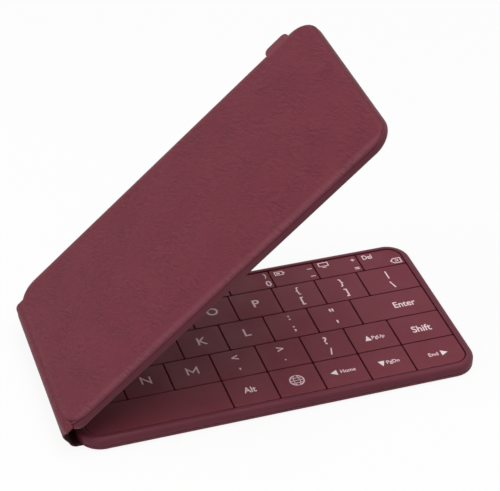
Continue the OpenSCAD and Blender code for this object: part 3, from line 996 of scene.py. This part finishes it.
# Place of the spine on the leather's flat map, beside the halves
SPINE_MAP_X = -90


def strip_path(sink, front, radius, reach, bow=0.0, dip=0.0):
    """Middle line of a strip from the right half to the middle of the link, with its normals.

    sink is its distance in from the half's outer face, front the link's distance from the fold line,
    bow how far the link bulges outwards, and dip the depth of the crease beside the pad."""
    c, s = math.cos(HALF_ANGLE), math.sin(HALF_ANGLE)
    line_d = (front - sink * s) / c
    corner_up = -line_d * s + sink * c
    bend_up = corner_up + radius / math.tan(math.pi / 4 + HALF_ANGLE / 2)
    first = 1.5 * math.pi - HALF_ANGLE
    path = []
    start = (reach * c + sink * s, -reach * s + sink * c)
    centre = (front + radius, bend_up)
    tangent = (centre[0] + radius * math.cos(first), centre[1] + radius * math.sin(first))
    out = (math.cos(first), math.sin(first))
    run = math.dist(start, tangent)
    for k in range(STRAIGHT_STEPS):
        t = k / STRAIGHT_STEPS
        drop = -dip * math.exp(-(((reach - run * t - DIP_AT) / DIP_WIDTH) ** 2))
        point = [start[i] + (tangent[i] - start[i]) * t + out[i] * drop for i in range(2)]
        path.append((*point, out))
    for k in range(BEND_STEPS + 1):
        a = first + (math.pi - first) * k / BEND_STEPS
        n = (math.cos(a), math.sin(a))
        path.append((centre[0] + radius * n[0], centre[1] + radius * n[1], n))
    last = path[-1]
    for k in range(1, LINK_STEPS + 1):
        u = 1 - k / LINK_STEPS
        slope = -4 * bow * u * (1 - u * u) / last[1]
        length = math.hypot(1, slope)
        path.append((last[0] - bow * (1 - u * u) ** 2, last[1] * u, (-1 / length, -slope / length)))
    return path


def strip_section(width, thickness, edge, parts):
    """Cross-section of a strip as (across, outwards) points, with rounded edges."""
    half_w, half_t = width / 2 - edge, thickness / 2
    points = []
    for side in (1, -1):
        points += [(side * (2 * half_w * k / parts - half_w), side * half_t) for k in range(parts + 1)]
        for k in range(1, STRIP_EDGE_STEPS):
            a = side * math.pi / 2 - math.pi * k / STRIP_EDGE_STEPS
            points.append((side * half_w + edge * math.cos(a), half_t * math.sin(a)))
    return points


def strip_rows(bm, path, flip, section, middle_y, flare):
    """A strip's vertices, a row for each point of its path, and the path's length up to each row."""
    rows, along, run = [], [], 0.0
    for k, (away, up, (na, nu)) in enumerate(path):
        if k:
            run += math.dist(path[k - 1][:2], (away, up))
        along.append(run)
        row = []
        fade = flare * smooth(FLARE_FADE * (1 - k / (len(path) - 1)))
        fade *= math.sin(math.pi / 2 * min(1.0, (k + 2) / FLARE_ROUND_STEPS))
        for across, out in section:
            front = fade * smooth((-across - FLARE_FROM) / (SPINE_W / 2 - FLARE_FROM))
            out -= FLARE_SINK * front
            p = fold_point(away + na * out, flip * (up + nu * out))
            row.append(bm.verts.new((p.x, middle_y + across - FLARE * front, p.z)))
        rows.append(row)
    return rows, along


def skin_strip(bm, rows, along, flip, section, middle_y, shaded_inside):
    """Closes a strip's rows with faces; a strip with two materials gets the second, a painted shade, on its
    inner face.
    """
    layer = bm.loops.layers.uv.new("flat")
    count = len(section)
    for k in range(len(rows) - 1):
        for i in range(count):
            n = (i + 1) % count
            face = bm.faces.new((rows[k][i], rows[k][n], rows[k + 1][n], rows[k + 1][i]))
            face.material_index = 1 if shaded_inside and section[i][1] < 0 and section[n][1] < 0 else 0
            for corner, (r, c) in zip(face.loops, ((k, i), (k, n), (k + 1, n), (k + 1, i))):
                x = flip * (along[r] - along[-1]) + SPINE_MAP_X
                corner[layer].uv = (x, section[c][0] + middle_y)
    bm.faces.new(rows[0])
    bm.faces.new(rows[-1])


def make_strip(name, upper, path, section, middle_y, materials, flare=0.0):
    """Lofts one half of a strip across the fold; the upper half is the lower one mirrored.

    flare is the share of the flare that the strip's front edge has beside its half."""
    bm = bmesh.new()
    flip = -1 if upper else 1
    rows, along = strip_rows(bm, path, flip, section, middle_y, flare)
    skin_strip(bm, rows, along, flip, section, middle_y, len(materials) > 1)
    made = to_object(name, bm, materials, BASE, 60)
    made.data.transform(made.matrix_world)
    made.matrix_world = Matrix.Identity(4)
    ends = [path[STRAIGHT_STEPS - 1], path[STRAIGHT_STEPS + BEND_STEPS + LINK_STEPS // 4]]
    ends = [fold_point(p[0], flip * p[1]) * MM for p in ends]
    if upper:
        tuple(ends[1])
        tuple(ends[0])
        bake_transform(made)
    else:
        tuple(ends[0])
        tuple(ends[1])
        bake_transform(made)
    return made


def make_fold():
    """Leather spine and flat cable, each in two halves that meet in the middle of the link."""
    front, radius = SPINE_FRONT + SPINE_T / 2, SPINE_R - SPINE_T / 2
    reach = END_D + SPINE_TAIL
    path = strip_path(SPINE_SINK + SPINE_T / 2, front, radius, reach, SPINE_BOW, SPINE_DIP)
    section = strip_section(SPINE_W, SPINE_T, SPINE_ROUND, SPINE_PARTS)
    spine_materials = [SPINE_LEATHER, SPINE_INNER_SHADE]
    for name, upper in (("spine_lower", False), ("spine_upper", True)):
        made = make_strip(name, upper, path, section, 0.0, spine_materials, float(upper))
        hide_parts("spine_leather")
    front, radius = SPINE_FRONT + SPINE_T + FLEX_GAP + FLEX_T / 2, SPINE_R - SPINE_T - FLEX_T / 2
    reach = END_D + (FLEX_WALL + FLEX_IN)
    path = strip_path(FLEX_Z + FLEX_T / 2, front, radius, reach)
    section = strip_section(FLEX_W, FLEX_T, FLEX_ROUND, FLEX_PARTS)
    for name, upper in (("flex_lower", False), ("flex_upper", True)):
        made = make_strip(name, upper, path, section, FLEX_Y, [FLEX_FILM])
        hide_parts("flex_cable")


# Small parts

# Mesh parts of the tab's rounded edge and outline, and the bevel of its other face
TAB_EDGE_STEPS, TAB_STEPS = 6, (8, 6, 3)
TAB_BEVEL = [(0.0, -0.2), (0.06, -0.06), (0.2, 0.0)]


def make_tab():
    """Leather tab whose face runs on from the pad's face; its root lies in the pad."""
    bm = bmesh.new()
    low, high = TAB_Z, TAB_Z + TAB_T
    half_x, half_y = TAB_W / 2, (TAB_IN + TAB_OUT) / 2
    profile = [(TAB_EDGE * (1 - s), low + TAB_EDGE * (1 - c)) for c, s in quarter(TAB_EDGE_STEPS)]
    profile += [(distance, high + up) for distance, up in TAB_BEVEL]
    loops = sweep(bm, [(half_x - d, half_y - d, TAB_R - d, z) for d, z in profile], TAB_STEPS)
    bm.faces.new(loops[0])
    bm.faces.new(loops[-1])
    bmesh.ops.translate(bm, verts=bm.verts, vec=(TAB_X, HALF_Y + (TAB_OUT - TAB_IN) / 2, 0))
    flat_uv(bm)
    piece("tab_leather", bm, LEATHER, LID, "lid", ["pull_tab"], 60)


def make_contacts(base_frame):
    """A row of gilt pins, each set back a little in its bore."""
    bores, pins = bmesh.new(), bmesh.new()
    for k in range(CONTACT_COUNT):
        y = CONTACT_Y + (k - (CONTACT_COUNT - 1) / 2) * CONTACT_PITCH
        for bm, radius, out in ((bores, CONTACT_R + BORE_GAP, BORE_OUT), (pins, CONTACT_R, -PIN_SINK)):
            first = len(bm.verts)
            post(bm, 0, 0, radius, -PIN_DEEP, out, CONTACT_SIDES)
            turn = Matrix.Translation((HALF_X, y, CONTACT_Z)) @ Matrix.Rotation(math.pi / 2, 4, "Y")
            bmesh.ops.transform(bm, matrix=turn, verts=list(bm.verts)[first:])
    cut(base_frame, bores)
    piece("contact_pins", pins, GOLD, BASE, "base", ["charge_contacts"])


def dress(node, material):
    """Gives a carried-over CAD node its finished material."""
    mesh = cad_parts[node].data
    mesh.materials.clear()
    mesh.materials.append(material)


# Stage, light and camera

# Floor: side and drop below the object in metres, greys that light the object and that are seen,
# and the share of plain white in what is seen
FLOOR_SIZE, FLOOR_DROP = 8, 0.00005
FLOOR_LIT, FLOOR_SEEN, FLOOR_WHITE = 0.45, 0.95, 0.9

# World: strength, bright side, the dark side's share, and the band of the change
WORLD_STRENGTH = 0.44
WORLD_BRIGHT, WORLD_DARK_SHARE = (-0.55, -0.3, 0.8), 0.3
WORLD_SPREAD = (-0.7, 0.95)

# Lamps: place and size in metres and power in watts, and the point that they face
LIGHTS = [
    ("overhead", (0.08, -0.15, 1.0), 0.6, 5.1),
    ("left", (-0.85, -0.05, 0.65), 0.35, 1.9),
    ("front", (-0.45, -0.8, 0.5), 0.5, 0.6),
]
LIGHT_TARGET = (0, 0, 0.03)

# The photograph's camera, fitted to the seams between the keys: sensor and lens in millimetres,
# clipping in metres, azimuth, elevation and roll in degrees, and place in metres
CAMERA_OPTICS = {"sensor_width": 36, "lens": 131.164, "clip_start": 0.05, "clip_end": 20}
CAMERA_TURN = (19.458, 36.516, 1.664)
CAMERA_PLACE = (-0.1763, -0.49276, 0.43424)


def seen_share(tree):
    """1 for camera rays and for reflected and transmitted ones, which see the plain white."""
    rays = add(tree, "ShaderNodeLightPath").outputs
    share = rays["Is Camera Ray"]
    for name in ("Is Glossy Ray", "Is Transmission Ray"):
        share = math_node(tree, "MAXIMUM", share, rays[name])
    return share


def grey(level):
    return (level, level, level, 1)


def finish_tree(tree, output, share, plain, kind):
    """Ends a node tree in a mix of a shader and plain white."""
    white = add(tree, kind, {"Color": grey(1), "Strength": 1.0})
    mixed = add(tree, "ShaderNodeMixShader", {0: share, 1: plain.outputs[0], 2: white.outputs[0]})
    tree.links.new(mixed.outputs[0], add(tree, output).inputs[0])


def make_stage():
    """Pale floor that keeps the object's shadow."""
    bpy.ops.mesh.primitive_plane_add(size=FLOOR_SIZE, location=(0, 0, -FLOOR_DROP))
    floor = bpy.context.object
    floor.name = "floor"
    material = bpy.data.materials.new("floor")
    material.use_nodes = True
    tree = material.node_tree
    tree.nodes.clear()
    seen = seen_share(tree)
    color = mix_color(tree, seen, grey(FLOOR_LIT), grey(FLOOR_SEEN))
    diffuse = add(tree, "ShaderNodeBsdfDiffuse", {"Color": color})
    share = math_node(tree, "MULTIPLY", seen, FLOOR_WHITE)
    finish_tree(tree, "ShaderNodeOutputMaterial", share, diffuse, "ShaderNodeEmission")
    floor.data.materials.append(material)


def make_world():
    """Soft light, weaker from behind on the right; the background itself is white."""
    world = bpy.data.worlds.new("studio")
    bpy.context.scene.world = world
    world.use_nodes = True
    tree = world.node_tree
    tree.nodes.clear()
    toward = add(tree, "ShaderNodeTexCoord").outputs["Generated"]
    inputs = {0: toward, 1: Vector(WORLD_BRIGHT).normalized()}
    facing = add(tree, "ShaderNodeVectorMath", inputs, operation="DOT_PRODUCT").outputs["Value"]
    level = ramp_node(tree, facing, *WORLD_SPREAD, WORLD_STRENGTH * WORLD_DARK_SHARE, WORLD_STRENGTH)
    ambient = add(tree, "ShaderNodeBackground", {"Color": grey(1), "Strength": level})
    finish_tree(tree, "ShaderNodeOutputWorld", seen_share(tree), ambient, "ShaderNodeBackground")


def area_light(name, location, size, power):
    """A square lamp that faces the object."""
    lamp = bpy.data.lights.new(name, "AREA")
    lamp.shape = "SQUARE"
    lamp.size = size
    lamp.energy = power
    made = new_object(name, lamp)
    made.location = location
    made.rotation_euler = (Vector(LIGHT_TARGET) - Vector(location)).to_track_quat("-Z", "Y").to_euler()


def make_camera():
    data = bpy.data.cameras.new("camera")
    for key, value in CAMERA_OPTICS.items():
        setattr(data, key, value)
    made = new_object("camera", data)
    azimuth, elevation, roll = (math.radians(a) for a in CAMERA_TURN)
    turn = (
        Matrix.Rotation(-azimuth, 4, "Z")
        @ Matrix.Rotation(math.pi / 2 - elevation, 4, "X")
        @ Matrix.Rotation(roll, 4, "Z")
    )
    made.matrix_world = Matrix.Translation(CAMERA_PLACE) @ turn
    bpy.context.scene.camera = made


# The model

make_camera()
make_stage()
make_world()
for lamp_values in LIGHTS:
    area_light(*lamp_values)
bpy.context.scene.view_settings.view_transform = "Standard"

make_pad("base_pad", BASE, "base", "base_cover", BASE_SEED, BASE_ROLL)
make_pad("lid_pad", LID, "lid", "lid_cover", LID_SEED, LID_ROLL)
base_shell = make_frames()
make_right_keys()
make_left_keys()
make_switches()
bpy.data.objects.remove(text_source)
make_fold()
make_tab()
make_contacts(base_shell)
for half in ("base", "lid"):
    dress(half + "_support_plate", STEEL)
    dress(half + "_membrane", MEMBRANE)
    dress(half + "_magnets", STEEL)
dress("main_board", BOARD)
dress("battery", FOIL)
